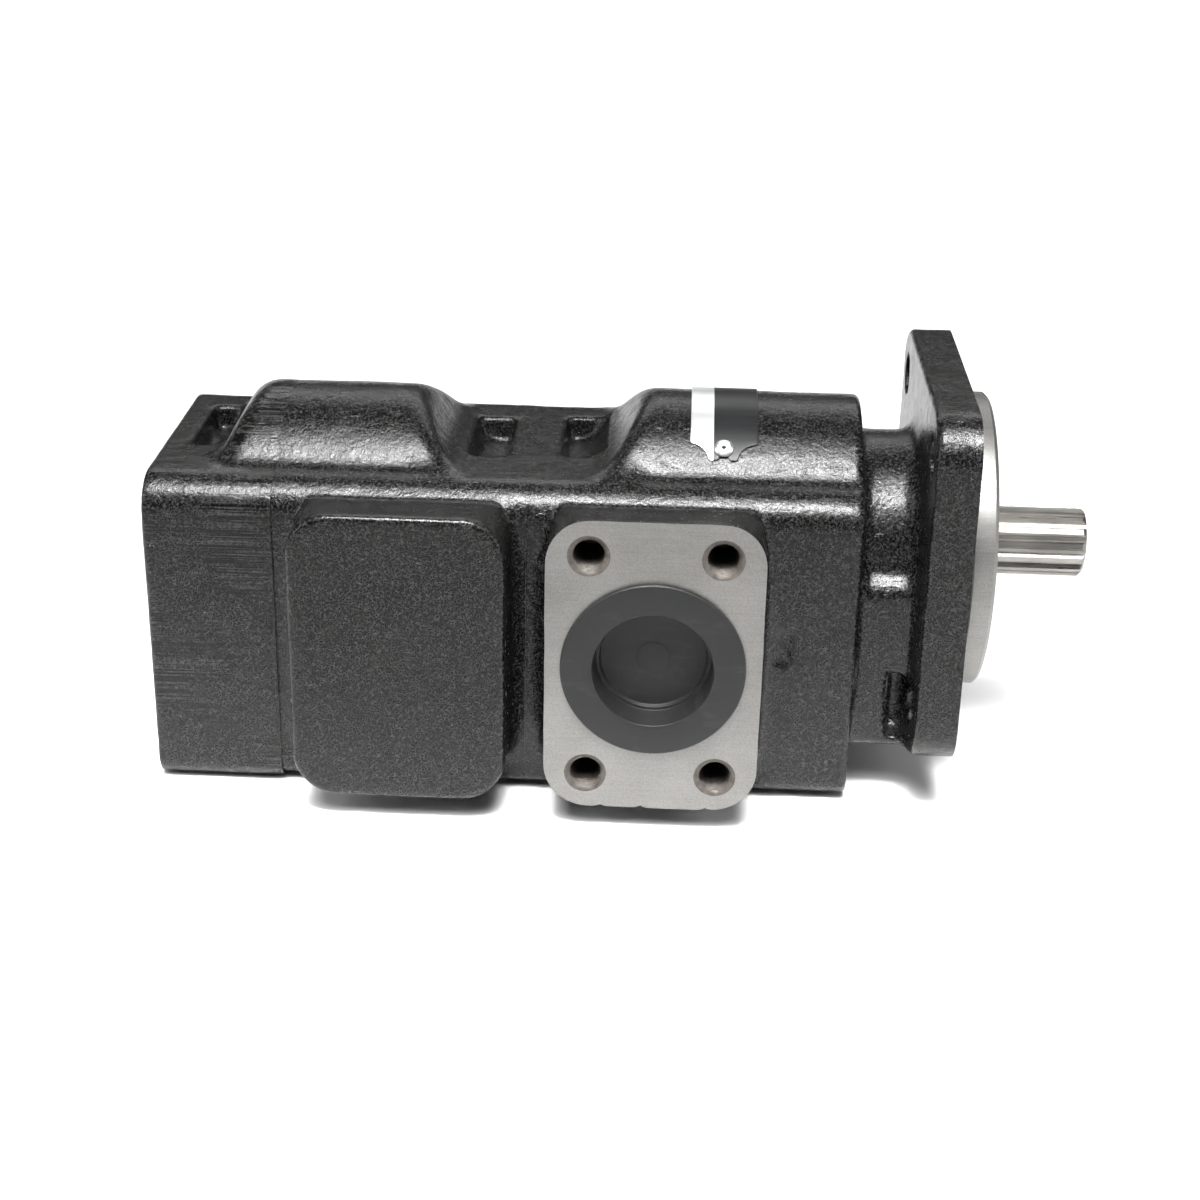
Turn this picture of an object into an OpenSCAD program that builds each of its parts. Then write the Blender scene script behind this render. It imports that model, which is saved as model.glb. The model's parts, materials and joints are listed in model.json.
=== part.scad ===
// Two-section external gear pump, cast iron, with a square four-bolt flange and a splined drive shaft.
// Origin: centre of the pilot on the flange's mounting face, on the drive shaft axis.
// +X runs out along the shaft, -Y is the suction port side, +Z is up.

/* [Castings] */
// Half depth of the gear housings and the front cover
body_half_y = 48.8; // [47:0.1:50]
// Half depth of the rear cover, ground a little proud of the housings
rear_half_y = 49.8; // [48.5:0.1:51]
// Height of the flat top above the drive shaft axis
body_top_z = 30.3; // [29:0.1:32]
// Underside of the housings and the front cover
body_bottom_z = -79.4; // [-82:0.1:-78]
// Underside of the rear cover
rear_bottom_z = -80.4; // [-83:0.1:-79]
// Radius of the long edges at the top
top_edge_r = 12; // [8:0.5:13]
// Radius of the long edges at the bottom
bottom_edge_r = 8; // [4:0.5:10]

/* [Lengths along the shaft] */
// End face of the rear cover
rear_end_x = -272.3; // [-276:0.1:-270]
// Joint between the rear cover and the rear gear housing
rear_joint_x = -229.2; // [-231:0.1:-227]
// Joint between the two gear housings
mid_joint_x = -145; // [-147:0.1:-143]
// Joint between the front gear housing and the front cover
front_joint_x = -54.7; // [-56:0.1:-53]
// End face of the front cover's block
block_end_x = -34.5; // [-36:0.1:-33]

/* [Top bulges] */
// Radius of the rounded bulge over the drive gears
bulge_r = 41.2; // [38:0.1:44]
// Top of the front bulge
front_bulge_z = 49; // [46:0.1:50]
// Top of the rear bulge
rear_bulge_z = 48; // [46:0.1:50]

/* [Flange] */
// Side of the square mounting flange
flange_w = 121.8; // [118:0.2:126]
// Thickness of the flange
flange_t = 14.4; // [12:0.1:16]
// Corner radius of the flange
flange_corner_r = 16; // [10:0.5:20]
// Pitch circle of the four flange holes
flange_pcd = 127; // [126:0.1:128]
// Diameter of a flange hole
flange_hole_d = 14.3; // [13.5:0.1:15]
// Diameter of the locating pilot
pilot_d = 101.6; // [100:0.1:102]
// Height of the pilot
pilot_h = 9.5; // [8:0.1:10]

/* [Suction port] */
// Place of the port along the shaft
suction_x = -101.7; // [-104:0.1:-99]
// Height of the port centre
suction_z = -20.8; // [-22:0.1:-20]
// Distance of the port face from the shaft axis
port_face_y = 72.4; // [70:0.1:74]
// Bore of the suction port
suction_bore_d = 50.8; // [44:0.1:52]
// Bolt spacing along the shaft
suction_bolt_x = 42.9; // [42:0.1:44]
// Bolt spacing up and down
suction_bolt_z = 77.8; // [77:0.1:79]

/* [Outlet ports] */
// Distance of the outlet faces from the shaft axis
outlet_face_y = 60; // [58:0.5:62]
// Bore of an outlet port
outlet_bore_d = 25.4; // [20:0.1:26]
// Bolt spacing along the shaft at an outlet
outlet_bolt_x = 26.2; // [26:0.1:27]
// Bolt spacing up and down at an outlet
outlet_bolt_z = 52.4; // [52:0.1:53]

/* [Gears] */
// Distance between the drive and driven axes
axis_gap = 42; // [41.8:0.1:42.2]
// Teeth on each gear
gear_teeth = 10; // [10:1:10]
// Tip radius of a gear
gear_tip_r = 25.3; // [25:0.1:25.4]
// Pressure angle of the teeth
pressure_angle = 25; // [24:0.5:26]
// Backlash along the pitch circle
backlash = 0.4; // [0.3:0.05:0.6]
// Radius of a gear journal
journal_r = 14; // [13:0.1:14.5]

/* [Drive shaft] */
// Teeth of the spline
spline_teeth = 15; // [13:1:17]
// Outer radius of the spline
spline_r = 12.3; // [11.8:0.1:12.5]
// Depth of a spline space
spline_depth = 1.45; // [1:0.05:1.8]
// Shaft end
shaft_end_x = 45.4; // [42:0.1:50]

/* [Hidden] */
$fn = 64;

eps = 0.05;
driven_z = -axis_gap;
bore_overrun = 1;

// Gear chambers and bearings
chamber_r = gear_tip_r + 0.1;
front_chamber_x = -106.5;
rear_chamber_x = -184;
plate_t = 8.9;
plate_r = chamber_r - 0.1;
side_gap = 0.1;
journal_gap = 0.05;
bush_r = 16;
bush_len = 24.5;
plate_hole_r = journal_r + 0.3;
plate_relief = [12, 14];
plate_relief_y = 19;
coupling_chamber_r = 17;
driven_bore_end_x = -28;

// Shaft seals
seal_bore_r = 21;
seal_seat_x = -20;
shaft_pass_r = 13.6;
seal_journal_r = 13;
seal_t = 8;
inner_seal_x = -19.5;
outer_seal_x = -9;
ring_x = 1.2;
ring_t = 1.6;
ring_r = 22.3;

// Clamp bolts, dowels and their holes, as [y, z]
bolt_spots = [[-37, 16.5], [37, 16.5], [-37, -66], [37, -66]];
bolt_hole_r = 6.5;
bolt_r = 6;
bolt_head_r = 9;
bolt_head_t = 12;
head_recess_r = 10.3;
head_recess_depth = 18;
washer_t = 2;
washer_r = 10;
bolt_tip_x = -40;
dowel_spots = [[38, -21], [-41, -48]];
dowel_r = 4;
dowel_half = 8;

// Passage from the suction port to the rear section
duct_y = [-40, -27];
duct_z = [-36, -6];
front_window_x = [-97.5, -64];
rear_window_x = [-220, -193];
window_y = [-36, -6];

// Pads on the housings
pad_corner_r = 15;
suction_pad = [70.6, 102.6];
blank_pad = [71, 101.4];
blank_pad_x = -185.5;
blank_pad_z = -21.6;
// Top of a pad falls from its face to the body, as [y, z]
pad_top_fall = [[-70.5, 0], [-48, 25.2]];
front_outlet_pad = [54, 78];
rear_outlet_pad = [44, 78];
outlet_corner_r = 10;
outlet_z = driven_z / 2;
front_outlet_x = (front_chamber_x + front_joint_x) / 2;
rear_outlet_x = (rear_joint_x + rear_chamber_x) / 2;
m12_tap_r = 5.1;
m12_depth = 24;
m10_tap_r = 4.25;
m10_depth = 16;

// Recesses in the flat top, as [x0, x1, y0, y1], and their depth
front_pocket = [-136, -118, -13, 27];
rear_pocket = [-168, -153.5, -15, 24];
cover_pocket = [-263, -245, -13, 27];
pocket_depth = 8.5;
pocket_slope = 1.5;

// Section seals; the duct side of the cord reaches this far from the shaft axis
duct_loop_y = 45.5;
seal_groove_r = 29.1;
seal_cord = 2.4;
seal_depth = 2.2;

// --- helpers ---

// Extrudes a Y-Z outline from x0 to x1
module along_x(x0, x1) {
    translate([x0, 0, 0]) rotate([90, 0, 90]) linear_extrude(x1 - x0) children();
}

// Extrudes an X-Z outline from y0 to y1
module along_y(y0, y1) {
    translate([0, y1, 0]) rotate([90, 0, 0]) linear_extrude(y1 - y0) children();
}

// Round bar along X at height z
module bar_x(x0, x1, r, y = 0, z = 0) {
    translate([x0, y, z]) rotate([0, 90, 0]) cylinder(h = x1 - x0, r = r);
}

// Round bar along Y
module bar_y(y0, y1, r, x, z) {
    translate([x, y0, z]) rotate([-90, 0, 0]) cylinder(h = y1 - y0, r = r);
}

// Rectangle with its top and bottom corners rounded
module rounded_plate(a, b, z0, z1, rt, rb) {
    translate([a + rt, z0 + rb]) square([b - a - 2 * rt, z1 - z0 - rb]);
    translate([a, z0 + rb]) square([b - a, z1 - z0 - rb - rt]);
    translate([a + rb, z0]) square([b - a - 2 * rb, rb + eps]);
    for (s = [a + rt, b - rt]) translate([s, z1 - rt]) circle(rt);
    for (s = [a + rb, b - rb]) translate([s, z0 + rb]) circle(rb);
}

module body_outline(half, bottom) {
    rounded_plate(-half, half, bottom, body_top_z, top_edge_r, bottom_edge_r);
}

// Rounded bulge over the drive gear; side is its ramped outline seen from the front
module bulge(top, side) {
    intersection() {
        along_x(side[0][0], side[3][0]) intersection() {
            translate([0, top - bulge_r]) circle(bulge_r);
            translate([-bulge_r, 0]) square([2 * bulge_r, top + 1]);
        }
        along_y(-bulge_r, bulge_r) polygon(concat([[side[0][0], 0]], side, [[side[3][0], 0]]));
    }
}

// Points where a bulge starts, is full, is still full and ends, as [x, z]
front_bulge_side = [[-121, body_top_z - 1], [-107.5, front_bulge_z], [-38.5, front_bulge_z], [-36, 46]];
rear_bulge_side = [[-251.5, body_top_z - 1], [-241, rear_bulge_z],
    [-185, rear_bulge_z], [-169.5, body_top_z - 1]];

// Both gear axes' circles joined at the waist
module twin(r) {
    circle(r);
    translate([0, driven_z]) circle(r);
}

module gear_chamber(x0, x1) {
    along_x(x0, x1) twin(chamber_r);
}

module twin_bores(x0, x1, r) {
    bar_x(x0, x1, r);
    bar_x(x0, x1, r, 0, driven_z);
}

module joint_loop(r, duct_reach) {
    twin(r);
    translate([-duct_reach, duct_z[0] - seal_cord - 1 - (r - seal_groove_r)])
        square([duct_reach, duct_z[1] - duct_z[0] + 2 * (seal_cord + 1 + r - seal_groove_r)]);
}

// Closed cord around the chambers and the suction duct
module joint_cord(x0, x1, extra = 0) {
    along_x(x0, x1) difference() {
        joint_loop(seal_groove_r + extra, duct_loop_y + extra);
        joint_loop(seal_groove_r - seal_cord - extra, duct_loop_y - seal_cord - extra);
    }
}

module bolt_holes(x0, x1, r) {
    for (p = bolt_spots) bar_x(x0, x1, r, p[0], p[1]);
}

module dowel_holes(x) {
    for (p = dowel_spots) bar_x(x - dowel_half, x + dowel_half, dowel_r, p[0], p[1]);
}

module duct(x0, x1) {
    translate([x0, duct_y[0], duct_z[0]])
        cube([x1 - x0, duct_y[1] - duct_y[0], duct_z[1] - duct_z[0]]);
}

// Opening from the duct into a gear chamber
module inlet_window(span) {
    translate([span[0], window_y[0], duct_z[0]])
        cube([span[1] - span[0], window_y[1] - window_y[0], duct_z[1] - duct_z[0]]);
}

module pad_outline(size, x, z, r) {
    translate([x - size[0] / 2, z - size[1] / 2]) rounded_plate(0, size[0], 0, size[1], r, r);
}

// Pad on the near side, its top falling towards the body
module near_pad(size, x, z) {
    top = z + size[1] / 2;
    difference() {
        along_y(-port_face_y, -body_half_y + bore_overrun) pad_outline(size, x, z, pad_corner_r);
        along_x(x - size[0], x + size[0]) polygon([[pad_top_fall[0][0], top + 1], [pad_top_fall[0][0], top - eps],
            pad_top_fall[1], [pad_top_fall[1][0] + 2, pad_top_fall[1][1]], [pad_top_fall[1][0] + 2, top + 1]]);
    }
}

// Recess in the flat top, with sloping end walls
module top_pocket(place) {
    top = body_top_z;
    floor_z = top - pocket_depth;
    above = top + 20;
    along_y(place[2], place[3]) polygon([[place[0], above], [place[0], top],
        [place[0] + pocket_slope, floor_z], [place[1] - pocket_slope, floor_z],
        [place[1], top], [place[1], above]]);
}

module port_screw_holes(x, z, dx, dz, face, depth, r, side) {
    for (sx = [-1, 1], sz = [-1, 1]) translate([x + sx * dx / 2, side * face, z + sz * dz / 2])
        rotate([side * 90, 0, 0]) translate([0, 0, -bore_overrun]) cylinder(h = depth + bore_overrun, r = r);
}

// --- castings ---

neck_r = 36;
neck_half = 43;
neck_bottom_z = -62;
ledge_z = -4;
relief_x = -17.5;
relief_half = 31;
head_room_x = -22;
head_room_y = [33.5, 57];
head_room_z = [-57.5, -33.5];

// Neck between the cover block and the flange: round on top, wider below a sloping ledge
module neck_outline() {
    circle(neck_r);
    translate([-neck_half, neck_bottom_z]) square([2 * neck_half, ledge_z - neck_bottom_z]);
    polygon([[-neck_half, ledge_z], [-35, ledge_z + 8], [35, ledge_z + 8], [neck_half, ledge_z]]);
}

// Narrower length next to the flange
module neck_relief_outline() {
    circle(neck_r);
    translate([-relief_half, neck_bottom_z + 4]) square([2 * relief_half, -neck_bottom_z - 4]);
}

// Square cut at each side of the neck for the head of a lower mounting bolt
module head_room() {
    for (side = [0, 1]) mirror([0, side, 0])
        translate([head_room_x, head_room_y[0], head_room_z[0]])
            cube([-flange_t - head_room_x, head_room_y[1] - head_room_y[0], head_room_z[1] - head_room_z[0]]);
}

module front_cover() color([0.06, 0.06, 0.07]) difference() {
    union() {
        along_x(front_joint_x, block_end_x) body_outline(body_half_y, body_bottom_z);
        intersection() {
            bulge(front_bulge_z, front_bulge_side);
            translate([front_joint_x, -60, 0]) cube([60, 120, 60]);
        }
        difference() {
            along_x(block_end_x - eps, relief_x) neck_outline();
            head_room();
        }
        along_x(head_room_x - eps, -flange_t + eps) neck_relief_outline();
        along_x(-flange_t, 0)
            rounded_plate(-flange_w / 2, flange_w / 2, -flange_w / 2, flange_w / 2,
                flange_corner_r, flange_corner_r);
        bar_x(-eps, pilot_h, pilot_d / 2);
    }
    for (sy = [-1, 1], sz = [-1, 1])
        bar_x(-flange_t - bore_overrun, bore_overrun, flange_hole_d / 2,
            sy * flange_pcd / 2 * sqrt(0.5), sz * flange_pcd / 2 * sqrt(0.5));
    bar_x(front_joint_x - bore_overrun, front_joint_x + bush_len + 4, bush_r);
    bar_x(front_joint_x - bore_overrun, driven_bore_end_x, bush_r, 0, driven_z);
    bar_x(front_joint_x, seal_seat_x + eps, shaft_pass_r);
    bar_x(seal_seat_x, pilot_h + bore_overrun, seal_bore_r);
    bar_x(ring_x - 0.1, ring_x + ring_t + 0.1, ring_r + 0.2);
    bolt_holes(front_joint_x - bore_overrun, bolt_tip_x + 1, bolt_r);
    dowel_holes(front_joint_x);
}

module front_gear_housing() color([0.06, 0.06, 0.07]) difference() {
    union() {
        along_x(mid_joint_x, front_joint_x) body_outline(body_half_y, body_bottom_z);
        intersection() {
            bulge(front_bulge_z, front_bulge_side);
            translate([mid_joint_x, -60, 0]) cube([front_joint_x - mid_joint_x, 120, 60]);
        }
        near_pad(suction_pad, suction_x, suction_z);
        along_y(body_half_y - bore_overrun, outlet_face_y)
            pad_outline(front_outlet_pad, front_outlet_x - 1, outlet_z, outlet_corner_r);
    }
    difference() {
        top_pocket(front_pocket);
        bulge(front_bulge_z, front_bulge_side);
    }
    gear_chamber(front_chamber_x, front_joint_x + bore_overrun);
    twin_bores(front_chamber_x - bush_len, front_chamber_x + eps, bush_r);
    bar_x(mid_joint_x - bore_overrun, front_chamber_x - bush_len + eps, coupling_chamber_r);
    bar_y(-port_face_y - bore_overrun, -34, suction_bore_d / 2, suction_x, suction_z);
    inlet_window(front_window_x);
    duct(mid_joint_x - bore_overrun, suction_x);
    bar_y(10, outlet_face_y + bore_overrun, outlet_bore_d / 2, front_outlet_x, outlet_z);
    port_screw_holes(suction_x, suction_z, suction_bolt_x, suction_bolt_z,
        port_face_y, m12_depth, m12_tap_r, -1);
    port_screw_holes(front_outlet_x, outlet_z, outlet_bolt_x, outlet_bolt_z,
        outlet_face_y, m10_depth, m10_tap_r, 1);
    joint_cord(front_joint_x - seal_depth, front_joint_x + bore_overrun, 0.05);
    joint_cord(mid_joint_x - bore_overrun, mid_joint_x + seal_depth, 0.05);
    bolt_holes(mid_joint_x - bore_overrun, front_joint_x + bore_overrun, bolt_hole_r);
    dowel_holes(front_joint_x);
    dowel_holes(mid_joint_x);
    nameplate_screw_shanks();
}

module rear_gear_housing() color([0.06, 0.06, 0.07]) difference() {
    union() {
        along_x(rear_joint_x, mid_joint_x) body_outline(body_half_y, body_bottom_z);
        intersection() {
            bulge(rear_bulge_z, rear_bulge_side);
            translate([rear_joint_x, -60, 0]) cube([mid_joint_x - rear_joint_x, 120, 60]);
        }
        near_pad(blank_pad, blank_pad_x, blank_pad_z);
        along_y(body_half_y - bore_overrun, outlet_face_y)
            pad_outline(rear_outlet_pad, rear_outlet_x + 1, outlet_z, outlet_corner_r);
    }
    difference() {
        top_pocket(rear_pocket);
        bulge(rear_bulge_z, rear_bulge_side);
    }
    gear_chamber(rear_joint_x - bore_overrun, rear_chamber_x);
    twin_bores(rear_chamber_x - eps, rear_chamber_x + bush_len, bush_r);
    bar_x(rear_chamber_x + bush_len - eps, mid_joint_x + bore_overrun, coupling_chamber_r);
    duct(rear_window_x[0], mid_joint_x + bore_overrun);
    inlet_window(rear_window_x);
    bar_y(10, outlet_face_y + bore_overrun, outlet_bore_d / 2, rear_outlet_x, outlet_z);
    port_screw_holes(rear_outlet_x, outlet_z, outlet_bolt_x, outlet_bolt_z,
        outlet_face_y, m10_depth, m10_tap_r, 1);
    joint_cord(rear_joint_x - bore_overrun, rear_joint_x + seal_depth, 0.05);
    bolt_holes(rear_joint_x - bore_overrun, mid_joint_x + bore_overrun, bolt_hole_r);
    dowel_holes(rear_joint_x);
    dowel_holes(mid_joint_x);
}

module rear_cover() color([0.06, 0.06, 0.07]) difference() {
    union() {
        along_x(rear_end_x, rear_joint_x) body_outline(rear_half_y, rear_bottom_z);
        intersection() {
            bulge(rear_bulge_z, rear_bulge_side);
            translate([rear_end_x, -60, 0]) cube([rear_joint_x - rear_end_x, 120, 60]);
        }
    }
    difference() {
        top_pocket(cover_pocket);
        bulge(rear_bulge_z, rear_bulge_side);
    }
    twin_bores(rear_joint_x - bush_len - 3, rear_joint_x + bore_overrun, bush_r);
    bolt_holes(rear_end_x - bore_overrun, rear_joint_x + bore_overrun, bolt_hole_r);
    bolt_holes(rear_end_x - bore_overrun, rear_end_x + head_recess_depth, head_recess_r);
    dowel_holes(rear_joint_x);
}

// --- rotating parts ---

function involute(a) = tan(a) - a * PI / 180;
function on_circle(r, deg) = [r * cos(deg), r * sin(deg)];

pitch_r = axis_gap / 2;
base_r = pitch_r * cos(pressure_angle);
root_r = axis_gap - gear_tip_r - 0.4;
tooth_pitch = 360 / gear_teeth;
half_tooth = (tooth_pitch / 4) - backlash / 4 / pitch_r * 180 / PI;
flank_steps = 6;

// Half angle of a tooth at radius r
function flank_angle(r) = half_tooth
    + (involute(pressure_angle) - involute(acos(base_r / max(r, base_r)))) * 180 / PI;
function flank_radius(i) = base_r + (gear_tip_r - base_r) * i / flank_steps;
function tooth_points(mid) = concat(
    [on_circle(root_r, mid - flank_angle(base_r) - 1.2)],
    [for (i = [0 : flank_steps]) on_circle(flank_radius(i), mid - flank_angle(flank_radius(i)))],
    [for (i = [flank_steps : -1 : 0]) on_circle(flank_radius(i), mid + flank_angle(flank_radius(i)))],
    [on_circle(root_r, mid + flank_angle(base_r) + 1.2)]);

// Gear outline, turned so that a tooth points down when phase is 0
module gear_outline(phase) {
    rotate(phase - 90) polygon([for (k = [0 : gear_teeth - 1]) each tooth_points(k * tooth_pitch)]);
}

module gear(x0, x1, z, phase) {
    translate([0, 0, z]) along_x(x0, x1) gear_outline(phase);
}

// Splined bar of straight-sided teeth
module spline_outline(r, depth, teeth) {
    step = 360 / teeth;
    polygon([for (k = [0 : teeth - 1]) each [
        on_circle(r - depth, k * step - step * 0.36),
        on_circle(r - depth * 0.45, k * step - step * 0.27),
        on_circle(r, k * step - step * 0.17),
        on_circle(r, k * step + step * 0.17),
        on_circle(r - depth * 0.45, k * step + step * 0.27),
        on_circle(r - depth, k * step + step * 0.36)]]);
}

stub_r = 9.5;
stub_teeth = 12;
stub_depth = 1.3;
stub_end_x = mid_joint_x + 1;
front_bore_x = front_chamber_x - bush_len;
rear_bore_x = rear_chamber_x + bush_len;
front_gear_x = [front_chamber_x + plate_t + side_gap, front_joint_x - plate_t - side_gap];
rear_gear_x = [rear_joint_x + plate_t + side_gap, rear_chamber_x - plate_t - side_gap];
spline_start_x = 9;
spline_chamfer = 1.4;

module drive_gear_shaft() color("silver") {
    gear(front_gear_x[0], front_gear_x[1], 0, 0);
    bar_x(front_gear_x[1] - eps, front_joint_x + bush_len + 2, journal_r);
    bar_x(front_bore_x - 1, front_gear_x[0] + eps, journal_r);
    bar_x(front_joint_x + bush_len, spline_start_x, seal_journal_r);
    intersection() {
        along_x(spline_start_x - eps, shaft_end_x) spline_outline(spline_r, spline_depth, spline_teeth);
        rotate([0, 90, 0]) rotate_extrude() polygon([[0, spline_start_x - 1],
            [spline_r + 1, spline_start_x - 1], [spline_r + 1, shaft_end_x - spline_chamfer - 1],
            [spline_r - spline_chamfer, shaft_end_x], [0, shaft_end_x]]);
    }
    along_x(stub_end_x, front_bore_x) spline_outline(stub_r, stub_depth, stub_teeth);
}

module shaft_coupling() color("silver") difference() {
    bar_x(rear_bore_x + 1.5, front_bore_x - 1.5, 13);
    along_x(rear_bore_x, front_bore_x) spline_outline(stub_r + 0.15, stub_depth, stub_teeth);
}

module rear_drive_gear() color("silver") {
    gear(rear_gear_x[0], rear_gear_x[1], 0, 0);
    bar_x(rear_joint_x - bush_len, rear_gear_x[0] + eps, journal_r);
    bar_x(rear_gear_x[1] - eps, rear_bore_x + 1, journal_r);
    along_x(rear_bore_x, mid_joint_x - 1) spline_outline(stub_r, stub_depth, stub_teeth);
}

module driven_gear(gear_x, x0, x1) {
    gear(gear_x[0], gear_x[1], driven_z, tooth_pitch / 2 + 180);
    bar_x(x0, x1, journal_r, 0, driven_z);
}

module front_driven_gear() color("silver")
    driven_gear(front_gear_x, front_bore_x + 0.5, front_joint_x + bush_len);

module rear_driven_gear() color("silver")
    driven_gear(rear_gear_x, rear_joint_x - bush_len, rear_bore_x - 0.5);

// --- wear plates, bushes and seals ---

module wear_plate(x0, groove_x) color([0.72, 0.70, 0.62]) difference() {
    along_x(x0, x0 + plate_t) twin(plate_r);
    twin_bores(x0 - 1, x0 + plate_t + 1, plate_hole_r);
    for (s = [-1, 1])
        translate([x0 - 1, s * plate_relief_y - plate_relief[0] / 2, (driven_z - plate_relief[1]) / 2])
            cube([plate_t + 2, plate_relief[0], plate_relief[1]]);
    plate_groove(groove_x, 0.05);
}

// Three-shaped seal on the back of a wear plate
module plate_groove(x0, extra) {
    reach = 20.4;
    along_x(x0 - extra, x0 + 2 + extra) difference() {
        twin(reach + extra);
        twin(reach - 2.4 - extra);
        translate([-40, driven_z / 2 - 9]) square([80, 18]);
    }
}

module plate_seal(x0) color([0.1, 0.1, 0.1]) plate_groove(x0, 0);

module front_outer_wear_plate() wear_plate(front_joint_x - plate_t, front_joint_x - 2);
module front_inner_wear_plate() wear_plate(front_chamber_x, front_chamber_x);
module rear_inner_wear_plate() wear_plate(rear_chamber_x - plate_t, rear_chamber_x - 2);
module rear_outer_wear_plate() wear_plate(rear_joint_x, rear_joint_x);
module front_outer_plate_seal() plate_seal(front_joint_x - 2);
module front_inner_plate_seal() plate_seal(front_chamber_x);
module rear_inner_plate_seal() plate_seal(rear_chamber_x - 2);
module rear_outer_plate_seal() plate_seal(rear_joint_x);

module bush_pair(x0, x1) color([0.75, 0.55, 0.25]) difference() {
    twin_bores(x0, x1, bush_r);
    twin_bores(x0 - 1, x1 + 1, journal_r + journal_gap);
}

module front_cover_bushes() bush_pair(front_joint_x, front_joint_x + bush_len);
module front_housing_bushes() bush_pair(front_bore_x, front_chamber_x);
module rear_housing_bushes() bush_pair(rear_chamber_x, rear_bore_x);
module rear_cover_bushes() bush_pair(rear_joint_x - bush_len, rear_joint_x);

module front_joint_seal() color([0.1, 0.1, 0.1]) joint_cord(front_joint_x - seal_depth, front_joint_x);
module mid_joint_seal() color([0.1, 0.1, 0.1]) joint_cord(mid_joint_x, mid_joint_x + seal_depth);
module rear_joint_seal() color([0.1, 0.1, 0.1]) joint_cord(rear_joint_x, rear_joint_x + seal_depth);

// Lip seal: metal-cased ring with a lip that runs on the shaft
module lip_seal(x0) color([0.15, 0.08, 0.05]) rotate([0, 90, 0]) rotate_extrude()
    polygon([[seal_bore_r, x0], [seal_bore_r, x0 + seal_t], [17.5, x0 + seal_t], [17.5, x0 + 2],
        [15, x0 + 2], [14.2, x0 + 5.5], [seal_journal_r + journal_gap, x0 + 5],
        [13.6, x0 + 1.6], [14.5, x0]]);

module inner_shaft_seal() lip_seal(inner_seal_x);
module outer_shaft_seal() lip_seal(outer_seal_x);

module seal_retaining_ring() color("silver") along_x(ring_x, ring_x + ring_t) difference() {
    circle(ring_r);
    circle(ring_r - 3.4);
    translate([-3, -ring_r - 1]) square([6, 7]);
}

// --- fasteners ---

module dowel_pins() color("silver")
    for (x = [front_joint_x, mid_joint_x, rear_joint_x], p = dowel_spots)
        bar_x(x - dowel_half + 0.5, x + dowel_half - 0.5, dowel_r, p[0], p[1]);

head_seat_x = rear_end_x + head_recess_depth;

module clamp_bolts() color([0.3, 0.3, 0.32]) for (p = bolt_spots) difference() {
    union() {
        bar_x(head_seat_x - washer_t - bolt_head_t, head_seat_x - washer_t, bolt_head_r, p[0], p[1]);
        bar_x(head_seat_x - washer_t - eps, bolt_tip_x, bolt_r, p[0], p[1]);
    }
    translate([head_seat_x - washer_t - bolt_head_t - 1, p[0], p[1]])
        rotate([0, 90, 0]) cylinder(h = 7, r = 5.77, $fn = 6);
}

module bolt_washers() color("silver") for (p = bolt_spots) difference() {
    bar_x(head_seat_x - washer_t, head_seat_x, washer_r, p[0], p[1]);
    bar_x(head_seat_x - washer_t - 1, head_seat_x + 1, bolt_hole_r, p[0], p[1]);
}

// --- nameplate ---

plate_x = [-92, -69.5];
plate_sheet = 0.6;
plate_half_angle = 47;
screw_angle = 40.8;
screw_x = (plate_x[0] + plate_x[1]) / 2 + 1;
screw_shank_r = 1.3;
plate_scoop_r = 7;
plate_scoop_x = 12.5;
bulge_axis_z = front_bulge_z - bulge_r;

// Places its children on the bulge, turned angle degrees from the top
module on_bulge(x, angle) {
    translate([x, 0, bulge_axis_z]) rotate([angle, 0, 0]) translate([0, 0, bulge_r]) children();
}

module nameplate_screw_shanks() {
    for (s = [-1, 1])
        on_bulge(screw_x, s * screw_angle) translate([0, 0, -7]) cylinder(h = 8, r = screw_shank_r);
}

// Slice of the bulge's round within angle degrees of the top
module top_slice(angle) {
    far = 90;
    polygon([[0, 0], [far * sin(angle), far * cos(angle)], [0, far * 2],
        [-far * sin(angle), far * cos(angle)]]);
}

module nameplate() color([0.75, 0.75, 0.76]) difference() {
    translate([0, 0, bulge_axis_z]) along_x(plate_x[0], plate_x[1]) intersection() {
        difference() {
            circle(bulge_r + plate_sheet);
            circle(bulge_r);
        }
        top_slice(plate_half_angle);
    }
    for (s = [-1, 1], t = [-1, 1])
        on_bulge(screw_x + t * plate_scoop_x, s * (screw_angle + 1))
            translate([0, 0, -5]) cylinder(h = 10, r = plate_scoop_r);
    nameplate_screw_shanks();
}

module nameplate_screws() color("silver") for (s = [-1, 1]) {
    on_bulge(screw_x, s * screw_angle) translate([0, 0, -6]) cylinder(h = 7, r = screw_shank_r);
    on_bulge(screw_x, s * screw_angle)
        translate([0, 0, plate_sheet + 0.1]) cylinder(h = 1.5, r1 = 3, r2 = 2.2);
}

// --- transport plugs ---

// Push-in plug with a rim and a cup, drawn with its rim's underside at z = 0
module plug(rim_r, rim_t, bore_r, depth, cup_r, cup_depth) {
    rotate_extrude() polygon([[0, -depth], [bore_r - 1.5, -depth], [bore_r, -depth + 1.5], [bore_r, 0],
        [rim_r, 0], [rim_r, rim_t - 0.6], [rim_r - 0.6, rim_t], [cup_r, rim_t],
        [cup_r - 1, rim_t - cup_depth], [0, rim_t - cup_depth]]);
}

plug_gap = 0.3;

module suction_port_plug() color([0.13, 0.13, 0.14])
    translate([suction_x, -port_face_y - 0.1, suction_z]) rotate([90, 0, 0])
        plug(30.2, 1.6, suction_bore_d / 2 - plug_gap, 16, 19.8, 12);

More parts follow.
